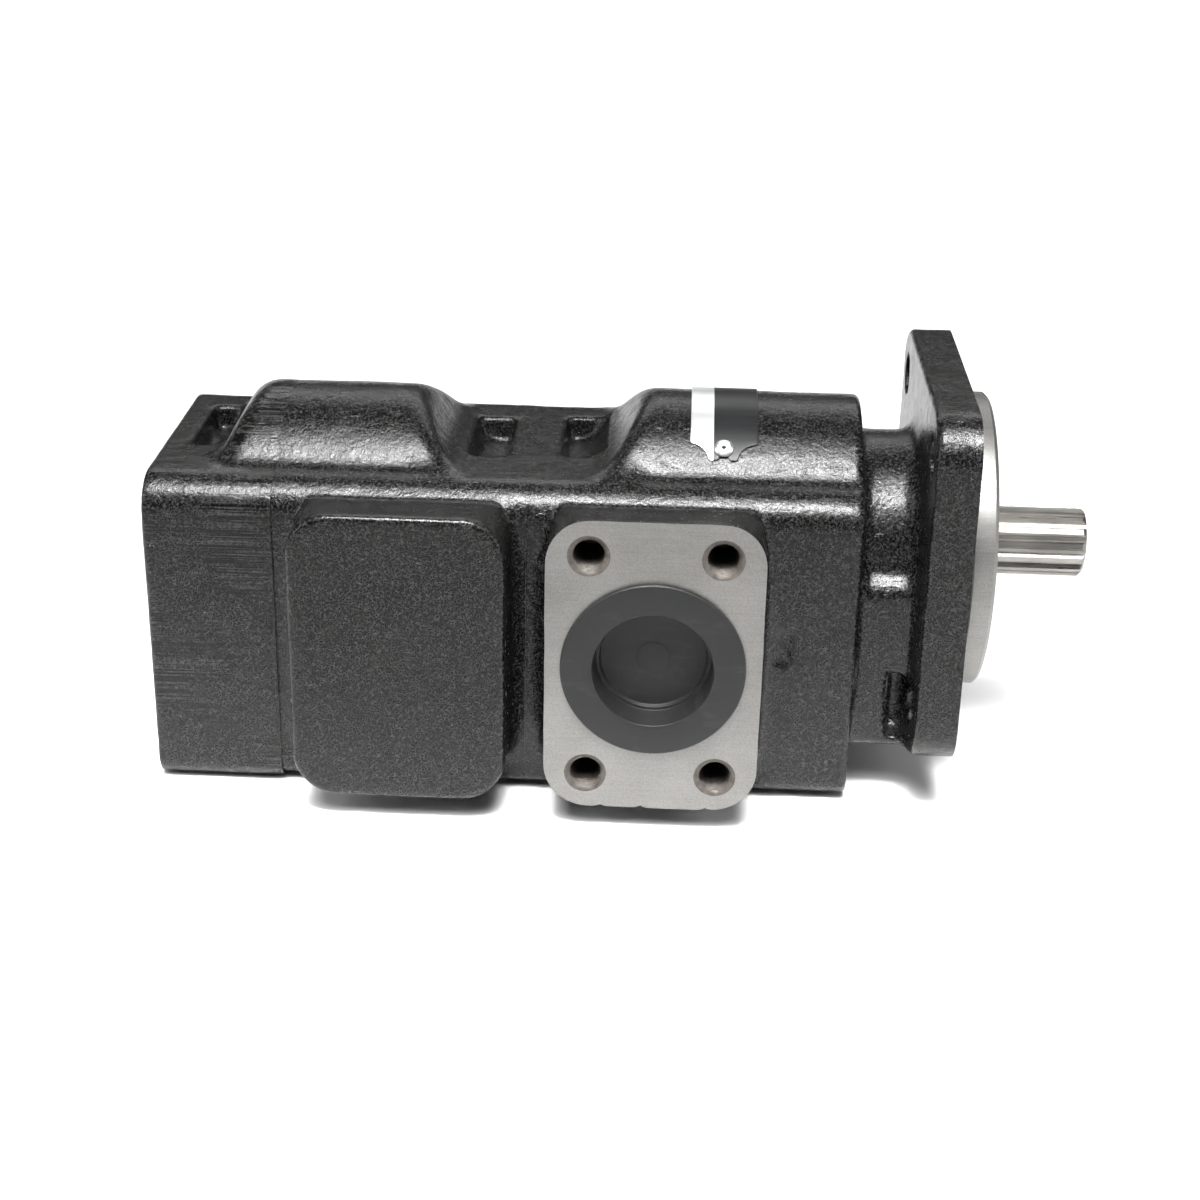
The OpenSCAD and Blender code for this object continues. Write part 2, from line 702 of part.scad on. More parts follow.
module outlet_plug(x) color([0.13, 0.13, 0.14])
    translate([x, outlet_face_y + 0.1, outlet_z]) rotate([-90, 0, 0])
        plug(16, 1.6, outlet_bore_d / 2 - plug_gap, 12, 9, 9);

module front_outlet_plug() outlet_plug(front_outlet_x);
module rear_outlet_plug() outlet_plug(rear_outlet_x);

front_cover();
front_gear_housing();
rear_gear_housing();
rear_cover();
drive_gear_shaft();
shaft_coupling();
rear_drive_gear();
front_driven_gear();
rear_driven_gear();
front_outer_wear_plate();
front_inner_wear_plate();
rear_inner_wear_plate();
rear_outer_wear_plate();
front_outer_plate_seal();
front_inner_plate_seal();
rear_inner_plate_seal();
rear_outer_plate_seal();
front_cover_bushes();
front_housing_bushes();
rear_housing_bushes();
rear_cover_bushes();
front_joint_seal();
mid_joint_seal();
rear_joint_seal();
inner_shaft_seal();
outer_shaft_seal();
seal_retaining_ring();
dowel_pins();
clamp_bolts();
bolt_washers();
nameplate();
nameplate_screws();
suction_port_plug();
front_outlet_plug();
rear_outlet_plug();
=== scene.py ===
import json
import math

import bmesh
import bpy
import numpy as np
import openvdb
from mathutils import Matrix, Vector


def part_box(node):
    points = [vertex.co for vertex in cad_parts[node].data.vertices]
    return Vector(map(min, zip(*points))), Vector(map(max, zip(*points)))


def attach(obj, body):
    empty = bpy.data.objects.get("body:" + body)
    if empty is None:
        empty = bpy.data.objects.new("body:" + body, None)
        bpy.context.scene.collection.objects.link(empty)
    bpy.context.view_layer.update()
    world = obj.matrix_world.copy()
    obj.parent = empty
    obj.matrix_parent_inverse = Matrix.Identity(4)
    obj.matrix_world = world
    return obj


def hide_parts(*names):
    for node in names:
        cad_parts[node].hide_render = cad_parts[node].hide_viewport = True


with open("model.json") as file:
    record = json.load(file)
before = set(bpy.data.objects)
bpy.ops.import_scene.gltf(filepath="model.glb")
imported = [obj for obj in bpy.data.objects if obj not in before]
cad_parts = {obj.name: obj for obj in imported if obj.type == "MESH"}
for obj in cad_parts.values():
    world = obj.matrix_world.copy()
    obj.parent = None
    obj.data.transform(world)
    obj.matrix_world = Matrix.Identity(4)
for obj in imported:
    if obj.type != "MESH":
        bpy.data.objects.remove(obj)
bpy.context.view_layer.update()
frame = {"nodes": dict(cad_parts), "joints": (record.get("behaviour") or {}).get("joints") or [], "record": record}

# Shapes are worked out in millimetres and turned into metres when a mesh is made.
mm = 0.001


def span(node):
    low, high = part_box(node)
    return np.array(low) / mm, np.array(high) / mm


def mountPlace(name):
    found = next(m for m in frame["record"]["mounts"] if m["name"] == name)
    return np.array(found["pos_m"]) / mm


def mountSize(name, key):
    return next(m for m in frame["record"]["mounts"] if m["name"] == name)["dims"][key]


def jointPlace(name):
    return np.array(next(j for j in frame["joints"] if j["name"] == name)["pos_m"]) / mm


coverLow, coverHigh = span("front_cover")
frontLow, frontHigh = span("front_gear_housing")
rearLow, rearHigh = span("rear_gear_housing")
endLow, endHigh = span("rear_cover")
drivenZ = jointPlace("front_driven_spin")[2]
suctionAt = mountPlace("suction_port_bolts")
outletsAt = {"front": mountPlace("front_outlet_bolts"), "rear": mountPlace("rear_outlet_bolts")}


def roundRect(u, v, spanU, spanV, r):
    du = np.abs(u - (spanU[0] + spanU[1]) / 2) - (spanU[1] - spanU[0]) / 2 + r
    dv = np.abs(v - (spanV[0] + spanV[1]) / 2) - (spanV[1] - spanV[0]) / 2 + r
    return np.hypot(np.maximum(du, 0), np.maximum(dv, 0)) + np.minimum(np.maximum(du, dv), 0) - r


def extrude(flat, w, spanW, r=0.0):
    dw = np.abs(w - (spanW[0] + spanW[1]) / 2) - (spanW[1] - spanW[0]) / 2 + r
    df = flat + r
    return np.hypot(np.maximum(df, 0), np.maximum(dw, 0)) + np.minimum(np.maximum(df, dw), 0) - r


def join(a, b, k=0.01):
    h = np.maximum(k - np.abs(a - b), 0) / k
    return np.minimum(a, b) - h * h * k / 4


def meet(a, b, k=0.01):
    return -join(-a, -b, k)


def carve(a, b, k=0.01):
    return meet(a, -b, k)


def rod(u, v, w, spanW, r):
    return extrude(np.hypot(u, v) - r, w, spanW)


def spline(count, size, places, start):
    # Cubic B-spline weights of evenly spaced knots at the given places
    t = (places - start) / size + 1
    base = np.floor(t).astype(int)
    f = t - base
    weights = np.zeros((len(places), count), np.float32)
    rows = np.arange(len(places))
    shares = ((1 - f) ** 3 / 6, (3 * f ** 3 - 6 * f ** 2 + 4) / 6,
              (-3 * f ** 3 + 3 * f ** 2 + 3 * f + 1) / 6, f ** 3 / 6)
    for step, share in enumerate(shares):
        weights[rows, base + step - 1] = share
    return weights


def lumps(axes, size, seed):
    # Smooth random unevenness between about -1 and 1, the same on both sides of a joint
    starts, ends = (-300, -95, -100), (80, 95, 80)
    counts = [int((b - a) / size) + 5 for a, b in zip(starts, ends)]
    knots = np.random.default_rng(seed).uniform(-1.8, 1.8, counts).astype(np.float32)
    for axis, (count, places) in enumerate(zip(counts, axes)):
        knots = np.tensordot(spline(count, size, places, starts[axis]), knots, axes=(1, axis))
        knots = np.moveaxis(knots, 0, axis)
    return knots


casting = {
    "step": 1.2,
    "topEdge": 12.0,
    "bottomEdge": 8.0,
    "endEdge": 1.6,
    "jointDepth": (0.32, 0.24, 0.24),   # painted-over grooves at the joints, rear to front
    "jointWidth": 0.5,
    "coarse": (11.0, 0.17),             # size and height of the as-cast unevenness
    "fine": (4.2, 0.08),
    "pebbles": (2.3, 0.045),
}

# Each ramp: its foot and its crest (x, z), and the radius of the crease above it
bulges = {
    "front": {"top": frontHigh[2], "r": 41.2,
              "ramps": [((-121, 29.3), (-107.5, 49), 4.5), ((-34.0, 20), (-34.2, 49), 2.6)]},
    "rear": {"top": endHigh[2], "r": 41.2,
             "ramps": [((-251.5, 29.3), (-241, 48), 7), ((-170.5, 29.3), (-184, 48), 5)]},
}

# Recesses in the flat top: x span, y span
pockets = {
    "front": ((-136, -118), (-13, 27)),
    "rear": ((-168, -153.5), (-15, 24)),
    "end": ((-263, -245), (-13, 27)),
}

neck = {"r": 36.0, "half": 43.0, "bottom": -62.0, "ledge": 39.0, "reliefX": -17.5, "reliefHalf": 31.0,
        "headRoom": ((-22, -10), (33.5, 60), (-57.5, -33.5))}
flange = {"back": -14.4, "corner": 16.0, "edge": 1.7}
pads = {
    "suction": {"size": (70.6, 102.6), "corner": 15.0, "edge": 0.5},
    "blank": {"x": -185.5, "z": -21.6, "size": (71.0, 101.4), "corner": 15.0, "edge": 2.4},
    "front": {"size": (54, 78), "corner": 10.0, "edge": 0.5, "shift": -1},
    "rear": {"size": (44, 78), "corner": 10.0, "edge": 0.5, "shift": 1},
}

padFall = ((-70.5, 0), (-48, 25.2))   # y of the outer end with its drop, y and z of the inner end
slotMark = {"x": (-62.0, -56.0), "z": (-29.0, -17.0), "depth": 0.9}   # small recess beside the port
nicks = {"x": (-118.1, -104.6, -82.8), "z": -71.9, "r": 1.0}          # on the port face's lower edge
duct = {
    "y": (-40, -27), "z": (-36, -6), "windowY": (-36, -6),
    "frontX": (-97.5, -64), "rearX": (-220, -193),
}
blockEnd = -34.5
blockHalf = 48.8
topZ = 30.3
coverBottom = -79.4
openGap = 0.15           # room left round the pieces that sit in a casting
boreSizes = {"clampTap": 6.1, "clamp": 6.5, "clampHead": 10.3, "dowel": 4.1, "shaft": 13.7, "coupling": 17,
             "suction": 25.4, "outlet": 12.7}

clampSpots = [(-37, 16.5), (37, 16.5), (-37, -66), (37, -66)]
dowelSpots = [(38, -21), (-41, -48)]


def slab(y, z, half, bottom):
    middle = (frontHigh[2] + bottom) / 2
    r = np.where(z > middle, casting["topEdge"], casting["bottomEdge"])
    return roundRect(y, z, (-half, half), (bottom, topZ), r)


def bulge(x, y, z, spec):
    d = np.hypot(y, z - spec["top"] + spec["r"]) - spec["r"]
    for (footX, footZ), (crestX, crestZ), crease in spec["ramps"]:
        dx, dz = crestX - footX, crestZ - footZ
        side = math.copysign(1, dx) / math.hypot(dx, dz)
        d = meet(d, side * (dx * (z - footZ) - dz * (x - footX)), crease)
    return d


def pocket(x, y, z, spans):
    spanX, spanY = spans
    depth, slope = 8.5, 1.5
    sink = np.clip(topZ - z, -2, depth) / depth * slope   # walls lean in towards the floor
    flat = roundRect(x, y, spanX, spanY, 2.8) + sink
    return extrude(flat, z, (topZ - depth, topZ + 30), 2.2)


def grooves(x):
    joints = zip((endHigh[0], rearHigh[0], frontHigh[0]), casting["jointDepth"])
    return sum(depth * np.exp(-((x - j) / casting["jointWidth"]) ** 2) for j, depth in joints)


def padShape(x, y, z, centre, spec, side, face):
    w, h = spec["size"]
    spanX = centre[0] - w / 2, centre[0] + w / 2
    flat = roundRect(x, z, spanX, (centre[1] - h / 2, centre[1] + h / 2), spec["corner"])
    spanY = sorted((side * 38, side * face))
    d = extrude(flat, y, spanY, spec["edge"])
    if side > 0:
        return d
    # The top falls from the face to the body, below the body's rounded top edge
    (outY, drop), (bodyY, bodyZ) = padFall
    top = centre[1] + h / 2 - drop
    slope = (top - bodyZ) / (bodyY - outY)
    above = (z - top + slope * np.maximum(y - outY, 0)) / math.hypot(1, slope)
    return meet(d, above, 1.5)


def padFillet(z):
    return np.interp(z, (2, 20), (7.0, 1.6))


def coverSkin(x, y, z):
    d = meet(slab(y, z, blockHalf, coverBottom), x - blockEnd, casting["endEdge"])
    d = join(d, bulge(x, y, z, bulges["front"]), 3.5)
    upper = np.hypot(y, z) - neck["r"]
    ledge = (np.abs(y) + z - neck["ledge"]) / math.sqrt(2)
    block = roundRect(y, z, (-neck["half"], neck["half"]), (neck["bottom"], 12), 5.0)
    block = meet(block, ledge, 2.5)
    roomX, roomY, roomZ = neck["headRoom"]
    room = extrude(roundRect(np.abs(y), z, roomY, roomZ, 5), x, roomX, 2)
    wide = carve(meet(join(upper, block, 3), x - neck["reliefX"], 2.5), room, 2)
    relief = roundRect(y, z, (-neck["reliefHalf"], neck["reliefHalf"]), (neck["bottom"] + 4, 0), 6.0)
    narrow = meet(join(upper, relief, 4), x + 6)
    d = join(d, meet(wide, blockEnd - 8 - x), 3.5)
    d = join(d, meet(narrow, blockEnd - 8 - x), 3)
    side = -coverHigh[1], coverHigh[1]
    square = roundRect(y, z, side, side, flange["corner"])
    plate = extrude(square, x, (flange["back"], 8), flange["edge"])
    return join(d, plate, 7.5)


def frontSkin(x, y, z):
    d = slab(y, z, blockHalf, coverBottom)
    d = carve(d, pocket(x, y, z, pockets["front"]), 1.2)
    slot = roundRect(x, z, slotMark["x"], slotMark["z"], 2.0)
    d = carve(d, extrude(slot, y, (-blockHalf - 5, -blockHalf + slotMark["depth"]), 1.0), 1.2)
    foot = np.interp(x, (-112, -104), (7, 3.5))
    d = join(d, bulge(x, y, z, bulges["front"]), foot)
    spec = pads["suction"]
    d = join(d, padShape(x, y, z, (suctionAt[0], suctionAt[2]), spec, -1, -suctionAt[1] + 4), padFillet(z))
    at, spec = outletsAt["front"], pads["front"]
    return join(d, padShape(x, y, z, (at[0] + spec["shift"], at[2]), spec, 1, at[1] + 4), 6)


def rearSkin(x, y, z):
    d = slab(y, z, blockHalf, coverBottom)
    d = carve(d, pocket(x, y, z, pockets["rear"]), 1.2)
    foot = np.interp(x, (-186, -174), (3.5, 6))
    d = join(d, bulge(x, y, z, bulges["rear"]), foot)
    spec = pads["blank"]
    d = join(d, padShape(x, y, z, (spec["x"], spec["z"]), spec, -1, -suctionAt[1]), padFillet(z))
    at, spec = outletsAt["rear"], pads["rear"]
    return join(d, padShape(x, y, z, (at[0] + spec["shift"], at[2]), spec, 1, at[1] + 4), 6)


def endSkin(x, y, z):
    d = carve(slab(y, z, endHigh[1], endLow[2]), pocket(x, y, z, pockets["end"]), 1.2)
    d = join(d, bulge(x, y, z, bulges["rear"]), 4)
    return meet(d, endLow[0] - x, casting["endEdge"])


def bores(x, y, z, spanX, r):
    return join(rod(y, z, x, spanX, r), rod(y, z - drivenZ, x, spanX, r))


def drilled(d, x, y, z, spots, spanX, r):
    for spotY, spotZ in spots:
        d = carve(d, rod(y - spotY, z - spotZ, x, spanX, r))
    return d


def sealGroove(x, y, z, node):
    # Room for the cord between two sections
    low, high = span(node)
    reach, cord = high[1], 2.4
    ductLow, ductHigh = duct["z"][0] - cord - 1, duct["z"][1] + cord + 1

    def loop(r, out):
        ring = join(np.hypot(y, z) - r, np.hypot(y, z - drivenZ) - r)
        grow = r - reach
        return join(ring, roundRect(y, z, (-out, 0), (ductLow - grow, ductHigh + grow), 0.5))

    flat = carve(loop(reach + 0.1, -low[1] + 0.1), loop(reach - cord - 0.1, -low[1] - cord - 0.1))
    return extrude(flat, x, (low[0] - 0.1, high[0] + 0.1))


def coverHoles(d, x, y, z):
    joint = coverLow[0]
    bushLow, bushHigh = span("front_cover_bushes")
    bushR = bushHigh[1] + openGap
    d = carve(d, rod(y, z, x, (joint - 9, bushHigh[0] + 4), bushR))
    d = carve(d, rod(y, z - drivenZ, x, (joint - 9, bushHigh[0] + 2.5), bushR))
    d = carve(d, rod(y, z, x, (joint, 20), boreSizes["shaft"]))
    sealLow, sealHigh = span("inner_shaft_seal")
    d = carve(d, rod(y, z, x, (sealLow[0] - 0.5, 20), sealHigh[1] + openGap))
    d = drilled(d, x, y, z, clampSpots, (joint - 9, -38.5), boreSizes["clampTap"])
    d = drilled(d, x, y, z, dowelSpots, (joint - 9, joint + 8), boreSizes["dowel"])
    reach = mountSize("flange_bolts", "pcd_mm") / 2 * math.sqrt(0.5)
    spots = [(a * reach, b * reach) for a in (-1, 1) for b in (-1, 1)]
    return drilled(d, x, y, z, spots, (flange["back"] - 6, 20), mountSize("flange_bolts", "hole_r_mm"))


sleeveStep = {"depth": 2.6, "in": 0.7}


def threadRoom(u, v, y, hole):
    # Wider at the mouth, for the countersink
    face, side = hole["face"], hole["side"]
    mouth = sorted((face + side * 9, face - side * sleeveStep["depth"]))
    deep = rod(u, v, y, hole["span"], hole["sleeve"] - sleeveStep["in"])
    return join(deep, rod(u, v, y, mouth, hole["sleeve"]))


def frontHoles(d, x, y, z):
    plateLow = span("front_inner_wear_plate")[0]
    bushLow, bushHigh = span("front_housing_bushes")
    d = carve(d, bores(x, y, z, (plateLow[0] - 0.1, frontHigh[0] + 9), -plateLow[1] + openGap))
    d = carve(d, bores(x, y, z, (bushLow[0] - 0.2, bushHigh[0] + 1), bushHigh[1] + openGap))
    d = carve(d, rod(y, z, x, (frontLow[0] - 9, bushLow[0] + 1), boreSizes["coupling"]))
    d = carve(d, rod(x - suctionAt[0], z - suctionAt[2], y, (-90, -34), boreSizes["suction"]))
    d = carve(d, extrude(roundRect(x, z, duct["frontX"], duct["z"], 2), y, duct["windowY"]))
    d = carve(d, extrude(roundRect(y, z, duct["y"], duct["z"], 2), x, (frontLow[0] - 9, suctionAt[0])))
    for nickX in nicks["x"]:
        d = carve(d, np.hypot(np.hypot(x - nickX, z - nicks["z"]), y - suctionAt[1]) - nicks["r"])
    d = carve(d, sealGroove(x, y, z, "front_joint_seal"))
    d = carve(d, sealGroove(x, y, z, "mid_joint_seal"))
    d = drilled(d, x, y, z, clampSpots, (frontLow[0] - 9, frontHigh[0] + 9), boreSizes["clamp"])
    d = drilled(d, x, y, z, dowelSpots, (frontLow[0] - 9, frontLow[0] + 8), boreSizes["dowel"])
    d = drilled(d, x, y, z, dowelSpots, (frontHigh[0] - 8, frontHigh[0] + 9), boreSizes["dowel"])
    for name, hole in portHoles.items():
        if name != "rear":
            for hx, hz in hole["spots"]:
                d = carve(d, threadRoom(x - hx, z - hz, y, hole))
    at = outletsAt["front"]
    return carve(d, rod(x - at[0], z - at[2], y, (10, 80), boreSizes["outlet"]))


def rearHoles(d, x, y, z):
    plateLow = span("rear_inner_wear_plate")
    bushLow, bushHigh = span("rear_housing_bushes")
    d = carve(d, bores(x, y, z, (rearLow[0] - 9, plateLow[1][0] + 0.1), -plateLow[0][1] + openGap))
    d = carve(d, bores(x, y, z, (bushLow[0] - 1, bushHigh[0] + 0.2), bushHigh[1] + openGap))
    d = carve(d, rod(y, z, x, (bushHigh[0] - 1, rearHigh[0] + 9), boreSizes["coupling"]))
    d = carve(d, extrude(roundRect(x, z, duct["rearX"], duct["z"], 2), y, duct["windowY"]))
    d = carve(d, extrude(roundRect(y, z, duct["y"], duct["z"], 2), x, (duct["rearX"][0], rearHigh[0] + 9)))
    d = carve(d, sealGroove(x, y, z, "rear_joint_seal"))
    d = drilled(d, x, y, z, clampSpots, (rearLow[0] - 9, rearHigh[0] + 9), boreSizes["clamp"])
    d = drilled(d, x, y, z, dowelSpots, (rearLow[0] - 9, rearLow[0] + 8), boreSizes["dowel"])
    d = drilled(d, x, y, z, dowelSpots, (rearHigh[0] - 8, rearHigh[0] + 9), boreSizes["dowel"])
    hole = portHoles["rear"]
    for hx, hz in hole["spots"]:
        d = carve(d, threadRoom(x - hx, z - hz, y, hole))
    at = outletsAt["rear"]
    return carve(d, rod(x - at[0], z - at[2], y, (10, 80), boreSizes["outlet"]))


def endHoles(d, x, y, z):
    bushLow, bushHigh = span("rear_cover_bushes")
    d = carve(d, bores(x, y, z, (bushLow[0] - 3, bushHigh[0] + 9), bushHigh[1] + openGap))
    d = drilled(d, x, y, z, clampSpots, (endLow[0] - 9, endHigh[0] + 9), boreSizes["clamp"])
    d = drilled(d, x, y, z, clampSpots, (endLow[0] - 9, endLow[0] + 18), boreSizes["clampHead"])
    return drilled(d, x, y, z, dowelSpots, (endHigh[0] - 8, endHigh[0] + 9), boreSizes["dowel"])


def holePattern(mount, side, sleeve, depth):
    at = mountPlace(mount)
    dx, dz = mountSize(mount, "spacing_x_mm") / 2, mountSize(mount, "spacing_y_mm") / 2
    spots = [(at[0] + a * dx, at[2] + b * dz) for a in (-1, 1) for b in (-1, 1)]
    spanY = sorted((at[1] + side * 9, at[1] - side * depth))
    return {"spots": spots, "span": spanY, "sleeve": sleeve, "face": at[1], "side": side}


portHoles = {
    "suction": holePattern("suction_port_bolts", -1, 7.0, 24.3),
    "front": holePattern("front_outlet_bolts", 1, 5.7, 16.3),
    "rear": holePattern("rear_outlet_bolts", 1, 5.7, 16.3),
}


def makeObject(name, verts, faces, materials):
    mesh = bpy.data.meshes.new(name)
    mesh.from_pydata(verts, [], faces)
    mesh.update()
    made = bpy.data.objects.new(name, mesh)
    bpy.context.scene.collection.objects.link(made)
    for material in materials:
        mesh.materials.append(material)
    mesh.polygons.foreach_set("use_smooth", [True] * len(mesh.polygons))
    return made


def castMesh(low, high, skin, holes, seed):
    step = casting["step"]
    axes = [np.arange(a - 3.3 * step, b + 3.3 * step, step, dtype=np.float32) for a, b in zip(low, high)]
    x, y, z = np.meshgrid(*axes, indexing="ij", sparse=True)
    d = skin(x, y, z) + grooves(x)
    for number, kind in enumerate(("coarse", "fine", "pebbles")):
        size, height = casting[kind]
        d = d + height * lumps(axes, size, seed + number)
    d = holes(d, x, y, z)
    grid = openvdb.FloatGrid(3.0)
    grid.copyFromArray(np.clip(d / step, -3, 3).astype(np.float32))
    points, quads = grid.convertToQuads(isovalue=0.0)
    start = np.array([a[0] for a in axes])
    return points * step + start, quads


def makeCasting(name, node, low, high, skin, holes, cuts, coat, seed=11):
    points, quads = castMesh(low, high, skin, holes, seed)
    made = makeObject(name, (points * mm).tolist(), quads.tolist(), [coat, iron])
    mesh = made.data
    centres = np.zeros(len(mesh.polygons) * 3, np.float32)
    mesh.polygons.foreach_get("center", centres)
    cx, cy, cz = centres.reshape(-1, 3).T / mm
    inside = skin(cx, cy, cz) < -1.6
    mesh.polygons.foreach_set("material_index", inside.astype(np.int32))
    bm = bmesh.new()
    bm.from_mesh(mesh)
    for at, direction in cuts:
        every = bm.verts[:] + bm.edges[:] + bm.faces[:]
        cut = bmesh.ops.bisect_plane(bm, geom=every, plane_co=Vector(at) * mm, plane_no=direction,
                                     clear_outer=True, dist=1e-7)
        rim = [e for e in cut["geom_cut"] if isinstance(e, bmesh.types.BMEdge)]
        filled = bmesh.ops.triangle_fill(bm, use_beauty=True, edges=rim, normal=direction)
        for face in (f for f in filled["geom"] if isinstance(f, bmesh.types.BMFace)):
            face.smooth = False
            face.material_index = 1
        for edge in rim:
            edge.smooth = False
    bm.to_mesh(mesh)
    bm.free()
    print(name, len(mesh.polygons), "faces")
    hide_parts(node)
    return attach(made, "pump_body")


class Wire:
    def __init__(self, tree, socket=None):
        self.tree = tree
        self.socket = socket

    def node(self, kind, settings=None, sockets=None, out=0):
        made = self.tree.nodes.new(kind)
        for name, value in (settings or {}).items():
            setattr(made, name, value)
        for name, value in (sockets or {}).items():
            if isinstance(value, Wire):
                self.tree.links.new(value.socket, made.inputs[name])
            else:
                made.inputs[name].default_value = value
        return Wire(self.tree, made.outputs[out])

    def maths(self, operation, *values):
        return self.node("ShaderNodeMath", {"operation": operation}, dict(enumerate(values)))

    def __add__(self, other):
        return self.maths("ADD", self, other)

    def __sub__(self, other):
        return self.maths("SUBTRACT", self, other)

    def __rsub__(self, other):
        return self.maths("SUBTRACT", other, self)

    def __mul__(self, other):
        return self.maths("MULTIPLY", self, other)

    __radd__ = __add__
    __rmul__ = __mul__


def noise(p, scale, detail=2.0, distortion=0.0, rough=0.5):
    return p.node("ShaderNodeTexNoise", {}, {"Vector": p, "Scale": scale, "Detail": detail,
                                             "Roughness": rough, "Distortion": distortion})


def stretched(p, x, y, z):
    return p.node("ShaderNodeVectorMath", {"operation": "MULTIPLY"}, {0: p, 1: (x, y, z)})


def remap(value, low, high, toLow=0.0, toHigh=1.0):
    return value.node("ShaderNodeMapRange", {}, {0: value, 1: low, 2: high, 3: toLow, 4: toHigh})


def mixed(share, a, b):
    return share.node("ShaderNodeMix", {"data_type": "RGBA"}, {0: share, 6: a, 7: b}, out=2)


def bumped(height, distance):
    return height.node("ShaderNodeBump", {}, {"Strength": 1.0, "Distance": distance, "Height": height})


def makeMaterial(name, look, **fixed):
    material = bpy.data.materials.new(name)
    material.use_nodes = True
    tree = material.node_tree
    shader = tree.nodes["Principled BSDF"]
    p = Wire(tree).node("ShaderNodeTexCoord", out="Object")
    for socket, value in look(p).items():
        if isinstance(value, Wire):
            tree.links.new(value.socket, shader.inputs[socket])
        else:
            shader.inputs[socket].default_value = value
    for socket, value in fixed.items():
        shader.inputs[socket.replace("_", " ")].default_value = value
    return material


def blackPaint(p, ground=0.0):
    pebbles = noise(p, 1300, 2, 0.9, 0.5)
    dimples = noise(p, 430, 2, 0.6, 0.5)
    scars = remap(noise(stretched(p, 170, 700, 700), 1, 2, 0.8), 0.67, 0.73)
    dust = remap(noise(p, 1500, 3, 0, 0.7), 0.66, 0.8)
    film = remap(noise(p, 60, 4), 0.35, 0.65)
    # Fine marks from grinding, in patches, where a cover was dressed before painting
    marks = remap(noise(stretched(p, 22, 700, 1500), 1, 2), 0.4, 0.62)
    patch = remap(noise(p, 24, 2), 0.5, 0.6) * ground
    pebbles = pebbles + patch * (marks - pebbles) * 0.3
    # Crests of the pebble relief get a lighter colour: a painted glint, standing in for the specks of light on the
    # pebbled paint
    paintedCrestGlint = remap(pebbles * 0.85 + dimples * 0.15, 0.46, 0.66)
    deep = mixed(film, (0.0006, 0.0006, 0.0006, 1), (0.002, 0.0019, 0.0017, 1))
    shade = mixed(paintedCrestGlint, deep, (0.026, 0.0263, 0.0256, 1))
    return {
        "Base Color": mixed(dust, shade, (0.05, 0.047, 0.041, 1)),
        "Roughness": remap(noise(p, 300, 3), 0.3, 0.7, 0.19, 0.28) + dust * 0.12,
        "Normal": bumped(pebbles * 0.5 + dimples * 1.0 + scars * 0.5, 0.0002),
    }


def bareIron(p):
    grain = noise(p, 2200, 4, 0, 0.7)
    along = {"Vector": p, "Rotation": (0, 0.62, 0), "Scale": (55, 900, 1300)}
    streaks = noise(p.node("ShaderNodeMapping", {}, along), 1, 3)
    tone = remap(noise(p, 35, 3) * 0.6 + streaks * 0.4, 0.35, 0.65)
    speck = remap(grain, 0.35, 0.68)
    return {
        "Base Color": mixed(speck, mixed(tone, (0.130, 0.127, 0.120, 1), (0.180, 0.176, 0.168, 1)),
                            mixed(tone, (0.19, 0.186, 0.177, 1), (0.25, 0.245, 0.235, 1))),
        "Roughness": remap(streaks, 0.3, 0.7, 0.38, 0.5),
        "Normal": bumped(grain * 0.5 + streaks * 0.7, 0.00004),
    }


def turnedSteel(p):
    streaks = noise(stretched(p, 60, 1400, 1400), 1, 3)
    rings = noise(stretched(p, 1600, 120, 120), 1, 2)
    tone = remap(noise(p, 60, 3), 0.3, 0.7)
    return {
        "Base Color": mixed(tone, (0.165, 0.159, 0.148, 1), (0.245, 0.236, 0.221, 1)),
        "Roughness": remap(streaks, 0.3, 0.7, 0.26, 0.4),
        "Normal": bumped(streaks * 0.6 + rings * 0.6, 0.00001),
    }


def plugPlastic(p):
    grain = noise(p, 1400, 3)
    scuff = remap(noise(stretched(p, 60, 60, 220), 1, 4, 1.2), 0.56, 0.72)
    return {
        "Base Color": mixed(scuff, (0.008, 0.0084, 0.008, 1), (0.014, 0.0145, 0.014, 1)),
        "Roughness": remap(grain, 0.3, 0.7, 0.42, 0.56),
        "Normal": bumped(grain, 0.00003),
    }


def silverSheet(p):
    brushed = noise(stretched(p, 1600, 30, 30), 1, 3)
    return {
        "Base Color": mixed(remap(brushed, 0.3, 0.7), (0.72, 0.72, 0.72, 1), (0.82, 0.82, 0.82, 1)),
        "Roughness": remap(brushed, 0.3, 0.7, 0.28, 0.42),
        "Normal": bumped(brushed, 0.00001),
    }


def rubberLook(p):
    grain = noise(p, 1200, 3)
    return {
        "Base Color": mixed(remap(grain, 0.3, 0.7), (0.016, 0.014, 0.013, 1), (0.028, 0.024, 0.022, 1)),
        "Roughness": remap(grain, 0.3, 0.7, 0.5, 0.65),
        "Normal": bumped(grain, 0.00002),
    }


def bronzeLook(p):
    rings = noise(stretched(p, 1500, 40, 40), 1, 3)
    return {
        "Base Color": mixed(remap(noise(p, 80, 3), 0.3, 0.7), (0.58, 0.38, 0.16, 1), (0.66, 0.46, 0.22, 1)),
        "Roughness": remap(rings, 0.3, 0.7, 0.25, 0.38),
        "Normal": bumped(rings, 0.00001),
    }


def alloyLook(p):
    grain = noise(p, 1000, 3)
    return {
        "Base Color": mixed(remap(grain, 0.3, 0.7), (0.62, 0.60, 0.56, 1), (0.72, 0.70, 0.66, 1)),
        "Roughness": remap(grain, 0.3, 0.7, 0.3, 0.42),
        "Normal": bumped(grain, 0.00001),
    }


